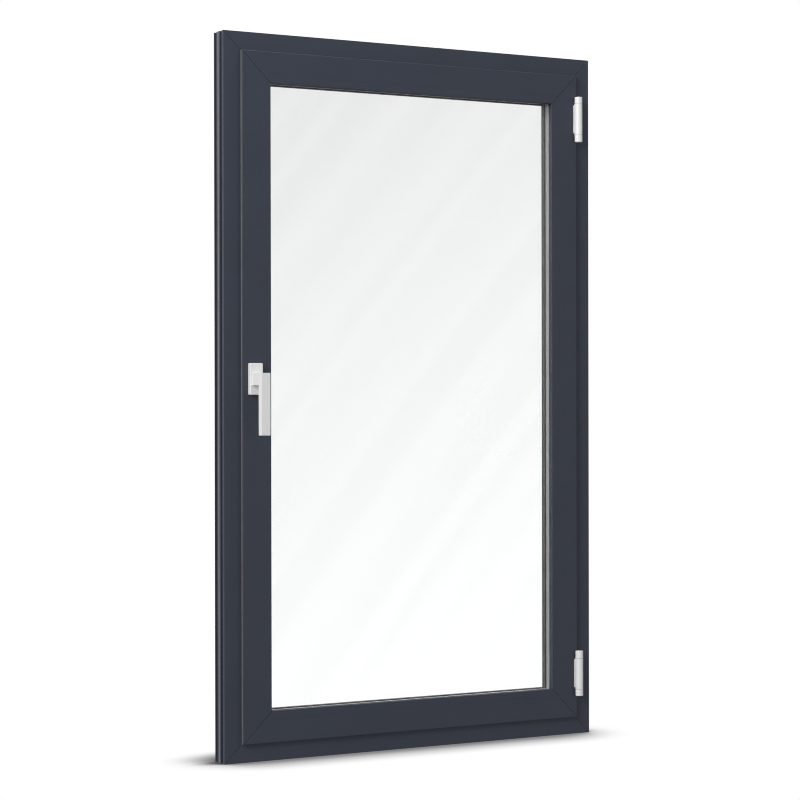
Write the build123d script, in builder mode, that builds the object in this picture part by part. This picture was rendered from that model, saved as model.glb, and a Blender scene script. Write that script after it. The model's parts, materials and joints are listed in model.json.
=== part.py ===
from build123d import *
import os

# Side-hung single-sash window in thermally broken aluminium, closed.
# Frame of reference: X to the right seen from the room, Y out of the room
# (the room is on the -Y side), Z up. The origin is the middle of the
# underside of the outer frame.

os.makedirs("parts", exist_ok=True)

# ---------------------------------------------------------------- dimensions
WIDTH = 900.0            # outer frame, overall width
HEIGHT = 1500.0          # outer frame, overall height
FRAME_DEPTH = 45.0       # room face to weather face of the outer frame
SASH_PROUD = 9.0         # sash face in front of the frame face, room side
FRAME_FACE = 38.5        # visible room-side width of the outer frame
BEAD_EDGE = 103.6        # perimeter to the sight line of the glass
BEAD_JOINT = 87.0        # perimeter to the joint between sash and bead
T = 1.8                  # aluminium wall thickness
LEG = 6.5                # length of the legs along the perimeter
MITRE_GAP = 0.6          # hairline joint between two mitred members

FRAME_SHELL = 19.0       # depth of the room-side shell of the frame
SASH_SHELL = 15.0        # depth behind the frame face of the sash's inner shell
OUTER_SHELL = 31.0       # depth at which the weather-side shells start

GLASS_EDGE = 91.0        # perimeter to the edge of the glass
PANE = 4.0
CAVITY = 12.0
GLASS_FRONT = 3.0        # depth of the room-side glass surface
PANE_BACK = GLASS_FRONT + 2 * PANE + CAVITY
SEAL_BACK = 30.5         # far side of the weather gasket
REVEAL = 104.6           # perimeter to the opening outside the glass
SEAL_TOP = -6.2          # depth at which the overlap gasket meets the sash
SPLAY = (97.7, 34.5)     # the splay runs from this width on the weather face to this depth

HANDLE_X = -384.7        # middle of the handle
HANDLE_Z = 787.5
ROSETTE_W, ROSETTE_H, ROSETTE_T = 29.2, 65.0, 10.0
LEVER_W, LEVER_T = 21.8, 11.2
LEVER_TOP, LEVER_BOTTOM = 799.7, 672.1
LEVER_REACH = 52.0       # front of the lever in front of the sash face
NECK_H = 25.0

HINGE_X = 410.7          # axis of the hinges
HINGE_V = -19.0
HINGE_R = 8.4
HINGE_TOP = 86.4         # from the end of the frame to the end of the hinge
KNUCKLES = (14.2, 69.0, 16.2)
KNUCKLE_GAP = 0.3
KNUCKLE_EDGE = 0.5
LEAF_W, LEAF_H, LEAF_T = 6.8, 63.8, 6.0   # leaf beside the middle knuckle, flat on the sash
PIN_R = 3.0

FACE_Y = -FRAME_DEPTH / 2    # the frame's room-side face

# Each side of the frame has its own plane: u runs in from the perimeter,
# v runs out of the room from the frame's room-side face.
SIDES = {
    "bottom": (Plane(origin=(WIDTH / 2, FACE_Y, 0), x_dir=(0, 0, 1), z_dir=(-1, 0, 0)), WIDTH),
    "top": (Plane(origin=(-WIDTH / 2, FACE_Y, HEIGHT), x_dir=(0, 0, -1), z_dir=(1, 0, 0)), WIDTH),
    "left": (Plane(origin=(-WIDTH / 2, FACE_Y, 0), x_dir=(1, 0, 0), z_dir=(0, 0, 1)), HEIGHT),
    "right": (Plane(origin=(WIDTH / 2, FACE_Y, HEIGHT), x_dir=(-1, 0, 0), z_dir=(0, 0, -1)), HEIGHT),
}

# ------------------------------------------------------------------ sections
# Every section is a list of walls (u0, u1, v0, v1) and of rounded corners.
FOOT = 3.0


def lips(u, v0, v1):
    """The two lips that hold a polyamide foot that starts at u."""
    return [(u - 1.2, u, v0, v1), (u + FOOT, u + FOOT + 1.2, v0, v1)]


FRAME_FEET = (9.5, 36.0)
SASH_FEET = (59.5, 78.0)

frame_inner = dict(
    walls=[
        (0, 45, 0, T),                                   # room-side face
        (0, 1.6, 0, 8.0),                                # lip of the fixing groove
        (0, 1.6, FRAME_SHELL - T, 22.0),                 # foot beside the polyamide
        (LEG, LEG + T, 0, FRAME_SHELL),                  # bottom of the fixing groove
        (0, 45, FRAME_SHELL - T, FRAME_SHELL),           # back wall and second leg
        (45 - T, 45, 0, FRAME_SHELL),                    # rebate wall
        (45, 49, FRAME_SHELL - T, FRAME_SHELL),          # keep for the fittings
        (47.4, 49, FRAME_SHELL - 5, FRAME_SHELL),
        *lips(FRAME_FEET[0], FRAME_SHELL, FRAME_SHELL + 2),
        *lips(FRAME_FEET[1], FRAME_SHELL, FRAME_SHELL + 2),
    ],
    rounds=[((0, 0), 0.5)],
)

frame_break = dict(
    walls=[
        (9.5, 12.5, 19, 21), (9.5, 12.5, 29, 31), (10, 12, 19, 31),
        (0, 10, 23.0, 24.2), (0, 10, 26.2, 27.4), (0, 1.6, 22.4, 28.0),
        (36, 39, 19, 21), (36, 39, 29, 31), (36.5, 38.5, 19, 31),
        (38.5, 46.5, 24.2, 25.8), (45, 46.5, 22, 28),
    ],
    rounds=[],
)

frame_outer = dict(
    walls=[
        (0, 42, OUTER_SHELL, OUTER_SHELL + T),
        (0, 1.6, 28.4, OUTER_SHELL + T),                 # foot beside the polyamide
        (0, 59, FRAME_DEPTH - T, FRAME_DEPTH),           # weather face
        (LEG, LEG + T, OUTER_SHELL, FRAME_DEPTH),
        (42 - T, 42, OUTER_SHELL, FRAME_DEPTH),
        (57.4, 59, 39.5, FRAME_DEPTH),                   # hook along the rebate
        (51.4, 53, 40.5, FRAME_DEPTH),
        *lips(FRAME_FEET[0], 29, OUTER_SHELL),
        *lips(FRAME_FEET[1], 29, OUTER_SHELL),
    ],
    rounds=[((0, FRAME_DEPTH), 0.5), ((59, FRAME_DEPTH), 0.6)],
)

sash_inner = dict(
    walls=[
        (FRAME_FACE, BEAD_JOINT, -SASH_PROUD, -SASH_PROUD + T),      # room-side face
        (FRAME_FACE, FRAME_FACE + 1.6, -SASH_PROUD, SEAL_TOP),       # edge of the overlap
        (43.6, 45.2, -SASH_PROUD, SEAL_TOP),
        (57, 57 + T, -SASH_PROUD, SASH_SHELL),
        (82, 82 + T, -SASH_PROUD, SASH_SHELL),                       # rebate floor
        (51, 82 + T, SASH_SHELL - T, SASH_SHELL),
        (51, 52.6, SASH_SHELL - 5, SASH_SHELL),                      # fittings groove
        (51, 52.6, -SASH_PROUD, -4.5),
        (82, 90, -4.4, -2.8),                                        # catch of the bead
        (88.4, 90, -4.4, -1.0),
        *lips(SASH_FEET[0], SASH_SHELL, SASH_SHELL + 2),
        *lips(SASH_FEET[1], SASH_SHELL, SASH_SHELL + 2),
    ],
    rounds=[((FRAME_FACE, -SASH_PROUD), 1.2), ((BEAD_JOINT, -SASH_PROUD), 0.2)],
)

sash_break = dict(
    walls=[
        (59.5, 62.5, 15, 17), (59.5, 62.5, 29, 31), (60, 62, 15, 31),
        (55, 60, 22, 23.4),
        (78, 81, 15, 17), (78, 81, 29, 31), (78.5, 80.5, 15, 31),
        (71, 78.5, 20, 21.4), (71, 78.5, 25, 26.4),
    ],
    rounds=[],
)

sash_outer = dict(
    walls=[
        (58, 84, OUTER_SHELL, OUTER_SHELL + T),
        (67, SPLAY[0], FRAME_DEPTH - T, FRAME_DEPTH),    # weather face
        (67, 67 + T, OUTER_SHELL, FRAME_DEPTH),
        (84 - T, 84, OUTER_SHELL, FRAME_DEPTH),
        (93, REVEAL, SEAL_BACK, SEAL_BACK + 1.6),        # seat of the weather gasket
        *lips(SASH_FEET[0], 29, OUTER_SHELL),
        *lips(SASH_FEET[1], 29, OUTER_SHELL),
    ],
    slopes=[                                             # splayed edge outside the glass
        [(SPLAY[0], FRAME_DEPTH), (REVEAL, SPLAY[1]), (REVEAL, SEAL_BACK), (REVEAL - 1.7, SEAL_BACK),
         (REVEAL - 1.7, 34.0), (SPLAY[0] - 1.4, FRAME_DEPTH - 0.93), (SPLAY[0] - 2.0, FRAME_DEPTH)],
    ],
    rounds=[((67, FRAME_DEPTH), 0.8), ((SPLAY[0], FRAME_DEPTH), 1.2), ((REVEAL, SPLAY[1]), 1.0)],
)

glazing_bead = dict(
    walls=[
        (BEAD_JOINT, BEAD_EDGE, -SASH_PROUD, -SASH_PROUD + T),
        (BEAD_EDGE - T, BEAD_EDGE, -SASH_PROUD, 1.5),
        (94, BEAD_EDGE, -0.3, 1.5),
        (94, 95.6, -SASH_PROUD, 1.5),
        (BEAD_JOINT, BEAD_JOINT + 1.4, -SASH_PROUD, -4.6),
    ],
    rounds=[((BEAD_JOINT, -SASH_PROUD), 0.2), ((BEAD_EDGE, -SASH_PROUD), 1.0)],
)

overlap_seal = dict(
    walls=[(38.6, 44.6, SEAL_TOP, 0), (40.4, 43.2, -7.0, SEAL_TOP)],
    rounds=[((38.6, SEAL_TOP), 0.3), ((38.6, 0), 0.6)],
)

centre_seal = dict(
    walls=[(46.5, 48.0, 21.5, 28.5), (47.0, 48.2, 28.0, 30.9)],
    tubes=[(51.0, 25.0, 4.0, 3.0)],                      # (u, v, outer, inner radius)
    rounds=[],
)

inner_glazing_seal = dict(
    walls=[(96.0, 104.0, 1.5, GLASS_FRONT)],
    rounds=[((104.0, GLASS_FRONT), 0.4)],
)

outer_glazing_seal = dict(
    walls=[(93.5, 95.0, PANE_BACK, SEAL_BACK), (93.5, 104.8, PANE_BACK, PANE_BACK + 1.3),
           (93.5, 104.8, SEAL_BACK - 1.3, SEAL_BACK), (103.4, 104.8, PANE_BACK, SEAL_BACK)],
    rounds=[((104.8, PANE_BACK), 0.5)],
)

spacer_bar = dict(
    walls=[(94.5, 103.0, 7.0, 7.6), (94.5, 103.0, 18.4, 19.0),
           (94.5, 95.1, 7.0, 19.0), (102.4, 103.0, 7.0, 19.0)],
    rounds=[((103.0, 7.0), 0.3), ((103.0, 19.0), 0.3)],
)

edge_sealant = dict(walls=[(GLASS_EDGE, 94.5, 7.0, 19.0)], rounds=[])


def draw(profile):
    """Walls of a section in the current sketch, joined, with soft corners."""
    for u0, u1, v0, v1 in profile["walls"]:
        with Locations((u0, v0)):
            Rectangle(u1 - u0, v1 - v0, align=(Align.MIN, Align.MIN))
    for corners in profile.get("slopes", []):
        Polygon(*corners, align=None)
    for u, v, outer, inner in profile.get("tubes", []):
        with Locations((u, v)):
            Circle(outer)
            Circle(inner, mode=Mode.SUBTRACT)


def mitred(profile, side, gap=MITRE_GAP):
    """One member with the given section, cut at 45 degrees at both ends."""
    plane, length = SIDES[side]
    first = (plane.z_dir - plane.x_dir).normalized()
    last = (plane.z_dir + plane.x_dir).normalized() * -1
    with BuildPart() as member:
        with BuildSketch(plane) as section:
            draw(profile)
            for (u, v), radius in profile["rounds"]:
                fillet(section.vertices().sort_by_distance((u, v, 0))[0], radius)
        extrude(amount=length)
        split(bisect_by=Plane(plane.origin + first * (gap / 2), z_dir=first))
        split(bisect_by=Plane(plane.origin + plane.z_dir * length + last * (gap / 2), z_dir=last))
    return member


def ring(profile):
    """The same section all the way round, corners joined."""
    with BuildPart() as loop:
        for side in SIDES:
            add(mitred(profile, side, gap=0).part)
    return loop


def write(builder, name):
    builder.part.label = name
    export_step(builder.part, f"parts/{name}.step")


# ------------------------------------------------- outer frame, sash, beads
for side in SIDES:
    write(mitred(frame_inner, side), f"frame_inner_{side}")
    write(mitred(frame_break, side), f"frame_thermal_break_{side}")
    write(mitred(frame_outer, side), f"frame_outer_{side}")
    write(mitred(sash_inner, side), f"sash_inner_{side}")
    write(mitred(sash_break, side), f"sash_thermal_break_{side}")
    write(mitred(sash_outer, side), f"sash_outer_{side}")
    write(mitred(glazing_bead, side), f"glazing_bead_{side}")

# ------------------------------------------------------------------ gaskets
write(ring(overlap_seal), "overlap_gasket")
write(ring(centre_seal), "centre_gasket")
write(ring(inner_glazing_seal), "inner_glazing_gasket")
write(ring(outer_glazing_seal), "outer_glazing_gasket")

# ------------------------------------------------------------------ glazing
PANE_W = WIDTH - 2 * GLASS_EDGE
PANE_H = HEIGHT - 2 * GLASS_EDGE


def facing_out(v):
    """Plane at depth v, drawn from the room, its normal out of the room."""
    return Plane(origin=(0, FACE_Y + v, HEIGHT / 2), x_dir=(-1, 0, 0), z_dir=(0, 1, 0))


with BuildPart() as inner_pane:
    with BuildSketch(facing_out(GLASS_FRONT)):
        Rectangle(PANE_W, PANE_H)
    extrude(amount=PANE)
write(inner_pane, "inner_pane")

with BuildPart() as outer_pane:
    with BuildSketch(facing_out(GLASS_FRONT + PANE + CAVITY)):
        Rectangle(PANE_W, PANE_H)
    extrude(amount=PANE)
write(outer_pane, "outer_pane")

write(ring(spacer_bar), "spacer_bar")
write(ring(edge_sealant), "edge_sealant")

# Setting blocks between the edge of the glass and the rebate floor: two under
# the glass, two above it, two on each side.
BLOCK_L = 100.0
BLOCK_T = GLASS_EDGE - 84.0
with BuildPart() as glazing_blocks:
    for z in (84.0 + BLOCK_T / 2, HEIGHT - 84.0 - BLOCK_T / 2):
        with Locations((-260, FACE_Y + 13.0, z), (260, FACE_Y + 13.0, z)):
            Box(BLOCK_L, 22.0, BLOCK_T)
    for x in (-WIDTH / 2 + 84.0 + BLOCK_T / 2, WIDTH / 2 - 84.0 - BLOCK_T / 2):
        with Locations((x, FACE_Y + 13.0, 220), (x, FACE_Y + 13.0, HEIGHT - 220)):
            Box(BLOCK_T, 22.0, BLOCK_L)
write(glazing_blocks, "glazing_blocks")

# ------------------------------------------------------------------- handle
SASH_Y = FACE_Y - SASH_PROUD
with BuildPart() as rosette:
    with BuildSketch(Plane(origin=(HANDLE_X, SASH_Y, HANDLE_Z), x_dir=(1, 0, 0), z_dir=(0, -1, 0))):
        RectangleRounded(ROSETTE_W, ROSETTE_H, 2.5)
    extrude(amount=ROSETTE_T)
    fillet(rosette.faces().sort_by(Axis.Y)[0].edges(), 1.6)
write(rosette, "handle_rosette")

LEVER_Y = SASH_Y - LEVER_REACH
with BuildPart() as lever:
    with Locations((HANDLE_X, LEVER_Y + LEVER_T / 2, (LEVER_TOP + LEVER_BOTTOM) / 2)):
        Box(LEVER_W, LEVER_T, LEVER_TOP - LEVER_BOTTOM)
    with Locations((HANDLE_X, (LEVER_Y + SASH_Y - ROSETTE_T) / 2, LEVER_TOP - NECK_H / 2)):
        Box(LEVER_W, LEVER_REACH - ROSETTE_T, NECK_H)
    fillet(lever.edges().filter_by(Axis.Z).group_by(Axis.Y)[0], 1.5)
    fillet(lever.faces().sort_by(Axis.Y)[0].edges().group_by(Axis.Z)[0], 1.2)
write(lever, "handle_lever")

# ------------------------------------------------------------------- hinges
PIN_Y = FACE_Y + HINGE_V


def z_span(bottom, height, at_top):
    """Bottom of a piece measured from the top end or the bottom end."""
    return HEIGHT - bottom - height if at_top else bottom


def hinge(at_top):
    """Sash leaf, frame bearing and pin of one hinge."""
    total = sum(KNUCKLES)
    end = HINGE_TOP
    low = z_span(end + KNUCKLES[0] + KNUCKLE_GAP, KNUCKLES[1] - 2 * KNUCKLE_GAP, at_top)
    tall = KNUCKLES[1] - 2 * KNUCKLE_GAP
    with BuildPart() as leaf:
        with BuildSketch(Plane.XY.offset(low)):
            with Locations((HINGE_X, PIN_Y)):
                Circle(HINGE_R)
        extrude(amount=tall)
        chamfer(leaf.edges().filter_by(GeomType.CIRCLE), 0.25)
        with BuildSketch(Plane(origin=(HINGE_X - LEAF_W / 2, SASH_Y, low + tall / 2), x_dir=(1, 0, 0), z_dir=(0, -1, 0))):
            RectangleRounded(LEAF_W, LEAF_H, 3.3)
        extrude(amount=LEAF_T)
        with BuildSketch(Plane.XY.offset(low)):
            with Locations((HINGE_X - 2.0, (PIN_Y + SASH_Y) / 2)):
                Rectangle(4.0, SASH_Y - PIN_Y)
        extrude(amount=tall)
        with BuildSketch(Plane.XY.offset(low)):
            with Locations((HINGE_X, PIN_Y)):
                Circle(PIN_R)
        extrude(amount=tall, mode=Mode.SUBTRACT)
    with BuildPart() as bearing:
        for start, height in ((end, KNUCKLES[0]), (end + KNUCKLES[0] + KNUCKLES[1], KNUCKLES[2])):
            with BuildSketch(Plane.XY.offset(z_span(start, height, at_top))):
                with Locations((HINGE_X, PIN_Y)):
                    Circle(HINGE_R)
            extrude(amount=height)
        chamfer(bearing.edges().filter_by(GeomType.CIRCLE), KNUCKLE_EDGE)
        for start, height in ((end, KNUCKLES[0]), (end + KNUCKLES[0] + KNUCKLES[1], KNUCKLES[2])):
            with BuildSketch(Plane.XY.offset(z_span(start, height, at_top) + 1.0)):
                with Locations((HINGE_X + 5.0, PIN_Y + 8.0)):
                    Rectangle(6.0, 6.0)
            extrude(amount=height - 2.0)
        with BuildSketch(Plane.XY.offset(z_span(end, total, at_top) + 1.0)):
            with Locations((HINGE_X + 6.0, FACE_Y - 4.75)):
                Rectangle(9.0, 9.5)
        extrude(amount=total - 2.0)
        with BuildSketch(Plane.XY.offset(z_span(end, total, at_top) + 2.0)):
            with Locations((HINGE_X, PIN_Y)):
                Circle(PIN_R)
        extrude(amount=total - 4.0, mode=Mode.SUBTRACT)
    with BuildPart() as pin:
        with BuildSketch(Plane.XY.offset(z_span(end, total, at_top) + 2.0)):
            with Locations((HINGE_X, PIN_Y)):
                Circle(PIN_R)
        extrude(amount=total - 4.0)
    return leaf, bearing, pin


for place in ("top", "bottom"):
    leaf, bearing, pin = hinge(place == "top")
    write(leaf, f"{place}_hinge_sash_leaf")
    write(bearing, f"{place}_hinge_frame_bearing")
    write(pin, f"{place}_hinge_pin")
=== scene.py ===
import json
import math

import bpy
from mathutils import Matrix, Vector

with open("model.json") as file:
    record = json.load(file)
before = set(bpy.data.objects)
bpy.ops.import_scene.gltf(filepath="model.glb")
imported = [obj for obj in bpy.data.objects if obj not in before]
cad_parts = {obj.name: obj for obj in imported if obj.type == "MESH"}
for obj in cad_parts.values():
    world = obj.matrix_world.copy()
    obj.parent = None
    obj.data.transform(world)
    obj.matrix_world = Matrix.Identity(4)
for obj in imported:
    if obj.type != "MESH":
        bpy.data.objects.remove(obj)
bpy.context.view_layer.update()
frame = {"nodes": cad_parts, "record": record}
record = frame["record"]
nodes = frame["nodes"]
scene = bpy.context.scene

# ------------------------------------------------------------------ materials
# All patterns are laid out in object coordinates, which are metres in the
# part's own frame, so grain and texture keep their real size everywhere.


def new_material(name):
    mat = bpy.data.materials.new(name)
    mat.use_nodes = True
    tree = mat.node_tree
    tree.nodes.clear()
    out = tree.nodes.new("ShaderNodeOutputMaterial")
    bsdf = tree.nodes.new("ShaderNodeBsdfPrincipled")
    tree.links.new(bsdf.outputs["BSDF"], out.inputs["Surface"])
    return mat, tree, bsdf, out


def coords(tree, scale=(1, 1, 1)):
    tex = tree.nodes.new("ShaderNodeTexCoord")
    mapping = tree.nodes.new("ShaderNodeMapping")
    mapping.inputs["Scale"].default_value = scale
    tree.links.new(tex.outputs["Object"], mapping.inputs["Vector"])
    return mapping.outputs["Vector"]


def noise(tree, vector, scale, detail=2.0, rough=0.5):
    n = tree.nodes.new("ShaderNodeTexNoise")
    n.inputs["Scale"].default_value = scale
    n.inputs["Detail"].default_value = detail
    n.inputs["Roughness"].default_value = rough
    tree.links.new(vector, n.inputs["Vector"])
    return n.outputs["Fac"]


def span(tree, value, low, high, from_low=0.3, from_high=0.7):
    m = tree.nodes.new("ShaderNodeMapRange")
    m.inputs["From Min"].default_value = from_low
    m.inputs["From Max"].default_value = from_high
    m.inputs["To Min"].default_value = low
    m.inputs["To Max"].default_value = high
    tree.links.new(value, m.inputs["Value"])
    return m.outputs["Result"]


def blend_colours(tree, value, a, b):
    mix = tree.nodes.new("ShaderNodeMix")
    mix.data_type = "RGBA"
    mix.inputs["A"].default_value = (*a, 1)
    mix.inputs["B"].default_value = (*b, 1)
    tree.links.new(value, mix.inputs["Factor"])
    return mix.outputs["Result"]


def bump(tree, bsdf, height, strength, distance):
    b = tree.nodes.new("ShaderNodeBump")
    b.inputs["Strength"].default_value = strength
    b.inputs["Distance"].default_value = distance
    tree.links.new(height, b.inputs["Height"])
    tree.links.new(b.outputs["Normal"], bsdf.inputs["Normal"])


def powder_coat(name, dark, light, rough=(0.46, 0.56), shine=0.3):
    """Fine satin powder coat: orange peel of about a millimetre, faint cloudiness."""
    mat, tree, bsdf, out = new_material(name)
    bsdf.inputs["Specular IOR Level"].default_value = shine
    at = coords(tree)
    cloud = noise(tree, at, 9.0, 3.0)
    grain = noise(tree, at, 2400.0, 1.0)
    mixed = tree.nodes.new("ShaderNodeMath")
    mixed.operation = "MULTIPLY_ADD"
    mixed.inputs[1].default_value = 0.35
    tree.links.new(grain, mixed.inputs[0])
    tree.links.new(span(tree, cloud, 0.0, 0.65), mixed.inputs[2])
    tree.links.new(blend_colours(tree, mixed.outputs[0], dark, light), bsdf.inputs["Base Color"])
    tree.links.new(span(tree, noise(tree, at, 55.0, 3.0), *rough), bsdf.inputs["Roughness"])
    peel = noise(tree, at, 700.0, 2.0, 0.45)
    bump(tree, bsdf, peel, 0.10, 0.0003)
    return mat


def matt(name, a, b, rough, scale=300.0, strength=0.1, distance=0.0002, stretch=(1, 1, 1)):
    """Plain matt plastic, rubber or sealant with a fine uneven surface."""
    mat, tree, bsdf, out = new_material(name)
    at = coords(tree, stretch)
    tree.links.new(blend_colours(tree, span(tree, noise(tree, at, scale * 0.2, 3.0), 0, 1), a, b), bsdf.inputs["Base Color"])
    tree.links.new(span(tree, noise(tree, at, scale, 2.0), *rough), bsdf.inputs["Roughness"])
    bump(tree, bsdf, noise(tree, at, scale * 4, 2.0), strength, distance)
    return mat


def metal(name, a, b, rough, stretch):
    """Bare metal with a fine grain, which the stretch can draw out into lines."""
    mat, tree, bsdf, out = new_material(name)
    bsdf.inputs["Metallic"].default_value = 1.0
    at = coords(tree, stretch)
    tree.links.new(blend_colours(tree, span(tree, noise(tree, at, 1200.0, 3.0), 0, 1), a, b), bsdf.inputs["Base Color"])
    tree.links.new(span(tree, noise(tree, at, 900.0, 2.0), *rough), bsdf.inputs["Roughness"])
    bump(tree, bsdf, noise(tree, at, 1500.0, 2.0), 0.08, 0.0001)
    return mat


def pane_glass(name, tint):
    """Clear float glass. Lamps reach what is behind it."""
    mat, tree, bsdf, out = new_material(name)
    at = coords(tree)
    bsdf.inputs["Base Color"].default_value = (*tint, 1)
    bsdf.inputs["Roughness"].default_value = 0.0
    bsdf.inputs["IOR"].default_value = 1.5
    bsdf.inputs["Transmission Weight"].default_value = 1.0
    bump(tree, bsdf, noise(tree, at, 1.6, 1.0), 0.02, 0.002)
    clear = tree.nodes.new("ShaderNodeBsdfTransparent")
    clear.inputs["Color"].default_value = (*tint, 1)
    ray = tree.nodes.new("ShaderNodeLightPath")
    mix = tree.nodes.new("ShaderNodeMixShader")
    tree.links.new(ray.outputs["Is Shadow Ray"], mix.inputs["Fac"])
    tree.links.new(bsdf.outputs["BSDF"], mix.inputs[1])
    tree.links.new(clear.outputs["BSDF"], mix.inputs[2])
    tree.links.new(mix.outputs["Shader"], out.inputs["Surface"])
    return mat


MATERIALS = {
    "coated_aluminium": powder_coat("anthracite_coat", (0.0385, 0.0455, 0.0655), (0.043, 0.0507, 0.0725)),
    "polyamide": matt("polyamide", (0.125, 0.125, 0.128), (0.16, 0.16, 0.163), (0.5, 0.65)),
    "gasket_rubber": matt("gasket_rubber", (0.055, 0.055, 0.055), (0.08, 0.079, 0.077), (0.55, 0.7)),
    "clear_glass": pane_glass("float_glass", (0.885, 0.888, 0.887)),
    "spacer_metal": metal("mill_aluminium", (0.72, 0.72, 0.71), (0.85, 0.85, 0.84), (0.35, 0.5), (1, 1, 1)),
    "sealant": matt("sealant", (0.02, 0.02, 0.02), (0.03, 0.03, 0.03), (0.6, 0.8)),
    "block_plastic": matt("block_plastic", (0.42, 0.42, 0.40), (0.5, 0.5, 0.48), (0.45, 0.6)),
    "satin_white": powder_coat("satin_white", (0.76, 0.76, 0.755), (0.82, 0.82, 0.815), (0.30, 0.38), 0.5),
    "hinge_pin_steel": metal("plated_steel", (0.55, 0.55, 0.55), (0.65, 0.65, 0.64), (0.25, 0.4), (1, 1, 1)),
}

# The gasket that shows beside the sash gets a lighter grey copy of the gasket rubber: a painted highlight for the light
# falling on that thin line.
PAINTED_HIGHLIGHT_RUBBER = matt("painted_highlight_rubber", (0.115, 0.115, 0.117), (0.15, 0.15, 0.151), (0.5, 0.65))

SLOT_OF = {s["node"]: s["material_slot"] for s in record["subparts"]}
for name, obj in nodes.items():
    # The overlap gasket takes the lighter copy, its painted highlight.
    mat = PAINTED_HIGHLIGHT_RUBBER if name == "overlap_gasket" else MATERIALS[SLOT_OF[name]]
    obj.data.materials.clear()
    obj.data.materials.append(mat)

# ---------------------------------------------------------------------- stage
# A white studio: floor and backdrop are one even white to the camera, with a soft contact shadow painted into the
# floor's glow; one large soft light high on the left, and weak ones on the right, overhead and high behind.
CAMERA_AT = Vector((-2.4930, -4.2853 - 0.0225, 0.7561))

HORIZON = 1.14      # light from all round at floor level
DIM = 0.22          # light from overhead
UNDER = 0.38        # light from the floor
MIRRORED = 0.30     # what the panes mirror
PANE_SHADE_SLOPE = (1.173, 1.47)   # painted shading seen through the panes, darker at upper left, brighter to lower right
PANE_REFLECTION_BANDS = 0.020      # faint diagonal bands in it, painted reflections
# Soft contact shadows painted into the floor's glow: reach, direction, occlusion where darkest and where it ends, and
# its darkest level.
FLOOR_PAINTED_SHADOWS = ((0.14, (0, 0, 1), 0.55, 0.94, 0.26), (0.15, (0.8, -0.6, 0.2), 0.64, 0.90, 0.30))


def ramp(tree, socket, low, high, a, b, smooth=True):
    m = tree.nodes.new("ShaderNodeMapRange")
    m.interpolation_type = "SMOOTHSTEP" if smooth else "LINEAR"
    for key, value in (("From Min", low), ("From Max", high), ("To Min", a), ("To Max", b)):
        m.inputs[key].default_value = value
    tree.links.new(socket, m.inputs["Value"])
    return m.outputs["Result"]


def maths(tree, kind, a, b):
    m = tree.nodes.new("ShaderNodeMath")
    m.operation = kind
    for k, x in enumerate((a, b)):
        if isinstance(x, (int, float)):
            m.inputs[k].default_value = x
        else:
            tree.links.new(x, m.inputs[k])
    return m.outputs["Value"]


def pick(tree, which, a, b):
    """a where which is 0, b where it is 1."""
    m = tree.nodes.new("ShaderNodeMix")
    tree.links.new(which, m.inputs["Factor"])
    for key, x in (("A", a), ("B", b)):
        if isinstance(x, (int, float)):
            m.inputs[key].default_value = x
        else:
            tree.links.new(x, m.inputs[key])
    return m.outputs["Result"]


def painted_pane_light(tree, dx, dz):
    """Painted light seen through the panes: brighter towards the lower right, with faint diagonal bands as painted
    reflections.
    """
    slant = maths(tree, "SUBTRACT", maths(tree, "MULTIPLY", dx, 1.57), dz)
    bands = tree.nodes.new("ShaderNodeTexNoise")
    bands.noise_dimensions = "1D"
    bands.inputs["Scale"].default_value = 42.0
    bands.inputs["Detail"].default_value = 3.0
    bands.inputs["Roughness"].default_value = 0.6
    tree.links.new(slant, bands.inputs["W"])
    slope = ramp(tree, maths(tree, "SUBTRACT", maths(tree, "MULTIPLY", dx, 0.58), dz), 0.141, 0.421, *PANE_SHADE_SLOPE, smooth=False)
    return maths(tree, "ADD", slope, ramp(tree, bands.outputs["Fac"], 0.35, 0.65, -PANE_REFLECTION_BANDS, PANE_REFLECTION_BANDS))


# One triangle, far wider than any view, so that no edge crosses the floor.
ground = bpy.data.meshes.new("studio_floor")
ground.from_pydata([(-2400, -1200, 0), (2400, -1200, 0), (0, 2400, 0)], [], [(0, 1, 2)])
floor = bpy.data.objects.new("studio_floor", ground)
scene.collection.objects.link(floor)
mat = bpy.data.materials.new("studio_floor")
mat.use_nodes = True
mat.cycles.emission_sampling = "NONE"
tree = mat.node_tree
tree.nodes.clear()
out = tree.nodes.new("ShaderNodeOutputMaterial")
ray = tree.nodes.new("ShaderNodeLightPath")
split = tree.nodes.new("ShaderNodeSeparateXYZ")
tree.links.new(coords(tree), split.inputs["Vector"])
mirrored = maths(tree, "MINIMUM", ray.outputs["Glossy Depth"], 1.0)
join = tree.nodes.new("ShaderNodeCombineXYZ")
tree.links.new(maths(tree, "ADD", split.outputs["X"], -CAMERA_AT.x), join.inputs["X"])
tree.links.new(maths(tree, "ADD", split.outputs["Y"], -CAMERA_AT.y), join.inputs["Y"])
join.inputs["Z"].default_value = -CAMERA_AT.z
unit = tree.nodes.new("ShaderNodeVectorMath")
unit.operation = "NORMALIZE"
tree.links.new(join.outputs["Vector"], unit.inputs[0])
split = tree.nodes.new("ShaderNodeSeparateXYZ")
tree.links.new(unit.outputs["Vector"], split.inputs["Vector"])
# Through the panes the floor shows the painted shading slope and painted reflection bands.
through = pick(tree, mirrored, painted_pane_light(tree, split.outputs["X"], split.outputs["Z"]), MIRRORED)
level = pick(tree, ray.outputs["Is Singular Ray"], UNDER, through)
level = pick(tree, ray.outputs["Is Camera Ray"], level, 1.0)
shade = 1.0
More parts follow.
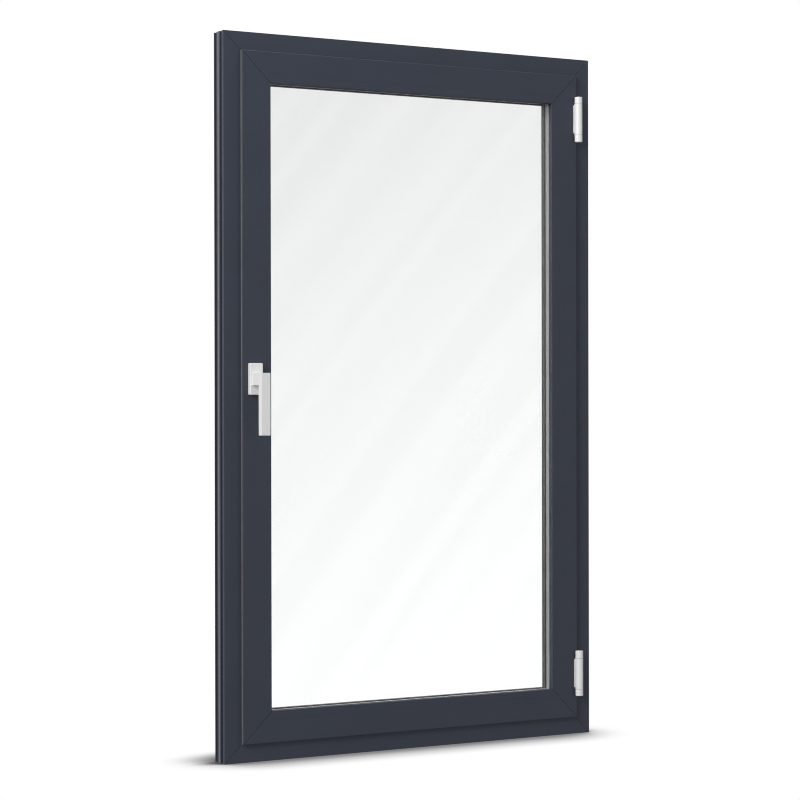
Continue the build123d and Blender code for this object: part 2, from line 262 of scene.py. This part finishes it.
# Painted contact shadow: occlusion darkens the floor's glow as the camera and the panes show it.
for reach, towards, dark, clear, least in FLOOR_PAINTED_SHADOWS:
    near = tree.nodes.new("ShaderNodeAmbientOcclusion")
    near.samples = 24
    near.inputs["Distance"].default_value = reach
    aim = tree.nodes.new("ShaderNodeCombineXYZ")
    for key, value in zip("XYZ", Vector(towards).normalized()):
        aim.inputs[key].default_value = value
    tree.links.new(aim.outputs["Vector"], near.inputs["Normal"])
    shade = maths(tree, "MULTIPLY", shade, ramp(tree, near.outputs["AO"], dark, clear, least, 1.0, smooth=False))
seen = maths(tree, "MAXIMUM", ray.outputs["Is Camera Ray"], ray.outputs["Is Singular Ray"])
level = maths(tree, "MULTIPLY", level, pick(tree, seen, 1.0, shade))
glow = tree.nodes.new("ShaderNodeEmission")
tree.links.new(level, glow.inputs["Strength"])
tree.links.new(glow.outputs["Emission"], out.inputs["Surface"])
floor.data.materials.append(mat)

world = bpy.data.worlds.new("studio")
scene.world = world
world.use_nodes = True
wt = world.node_tree
wt.nodes.clear()
wout = wt.nodes.new("ShaderNodeOutputWorld")
back = wt.nodes.new("ShaderNodeBackground")
wt.links.new(back.outputs["Background"], wout.inputs["Surface"])
direction = wt.nodes.new("ShaderNodeTexCoord")
split = wt.nodes.new("ShaderNodeSeparateXYZ")
wt.links.new(direction.outputs["Generated"], split.inputs["Vector"])
DX, DY, DZ = split.outputs["X"], split.outputs["Y"], split.outputs["Z"]
ray = wt.nodes.new("ShaderNodeLightPath")

front = ramp(wt, DZ, 0.0, 0.35, HORIZON, DIM)
behind = ramp(wt, DY, 0.0, 0.45, 0.0, 1.0)
wall = ramp(wt, DZ, 0.0, 0.5, HORIZON, 0.6, smooth=False)
level = maths(wt, "ADD", front, maths(wt, "MULTIPLY", behind, maths(wt, "MAXIMUM", maths(wt, "SUBTRACT", wall, front), 0.0)))
mirrored = maths(wt, "MINIMUM", ray.outputs["Glossy Depth"], 1.0)
# Through the panes the backdrop shows the painted shading slope and painted reflection bands.
through = pick(wt, mirrored, painted_pane_light(wt, DX, DZ), MIRRORED)
level = pick(wt, ray.outputs["Is Singular Ray"], level, through)
level = pick(wt, ray.outputs["Is Camera Ray"], level, 1.0)
wt.links.new(level, back.inputs["Strength"])
back.inputs["Color"].default_value = (1, 1, 1, 1)

KEY_POWER, BACK_POWER, FILL_POWER, TOP_POWER = 252.0, 45.0, 13.0, 42.0


def soft_light(name, at, towards, size, power):
    data = bpy.data.lights.new(name, "AREA")
    data.shape = "RECTANGLE"
    data.size, data.size_y = size
    data.energy = power
    lamp = bpy.data.objects.new(name, data)
    scene.collection.objects.link(lamp)
    lamp.location = at
    lamp.rotation_euler = (Vector(towards) - Vector(at)).to_track_quat("-Z", "Y").to_euler()
    lamp.visible_camera = False
    lamp.visible_transmission = False
    return lamp


soft_light("key_left", (-4.82, -2.35, 3.3), (0, 0, 0.9), (2.4, 2.4), KEY_POWER)
soft_light("fill_right", (3.6, -3.2, 1.6), (0, 0, 0.8), (2.0, 2.0), FILL_POWER).visible_glossy = False
soft_light("top_soft", (0, -0.26, 3.7), (0, -0.1, 1.2), (1.6, 0.3), TOP_POWER)
soft_light("back_right", (1.5, 1.6, 2.4), (0, 0.1, 0), (1.5, 1.5), BACK_POWER)

scene.cycles.filter_width = 1.1
scene.view_settings.view_transform = "Standard"
scene.view_settings.look = "None"
scene.view_settings.exposure = 0.0
scene.view_settings.gamma = 1.0

# --------------------------------------------------------------------- camera
FOCAL_PX = 2319.6
YAW, PITCH, ROLL = math.radians(29.830), math.radians(-0.146), math.radians(-0.103)

forward = Vector((math.sin(YAW) * math.cos(PITCH), math.cos(YAW) * math.cos(PITCH), math.sin(PITCH)))
right0 = Vector((math.cos(YAW), -math.sin(YAW), 0))
up0 = right0.cross(forward)
right = right0 * math.cos(ROLL) + up0 * math.sin(ROLL)
up = up0 * math.cos(ROLL) - right0 * math.sin(ROLL)
camera_data = bpy.data.cameras.new("camera")
camera_data.sensor_fit = "HORIZONTAL"
camera_data.sensor_width = 36.0
camera_data.lens = FOCAL_PX * 36.0 / 800.0
camera_data.clip_start = 0.05
camera_data.clip_end = 2000.0
camera = bpy.data.objects.new("camera", camera_data)
scene.collection.objects.link(camera)
camera.matrix_world = Matrix((
    (right.x, up.x, -forward.x, CAMERA_AT.x),
    (right.y, up.y, -forward.y, CAMERA_AT.y),
    (right.z, up.z, -forward.z, CAMERA_AT.z),
    (0, 0, 0, 1),
))
scene.camera = camera
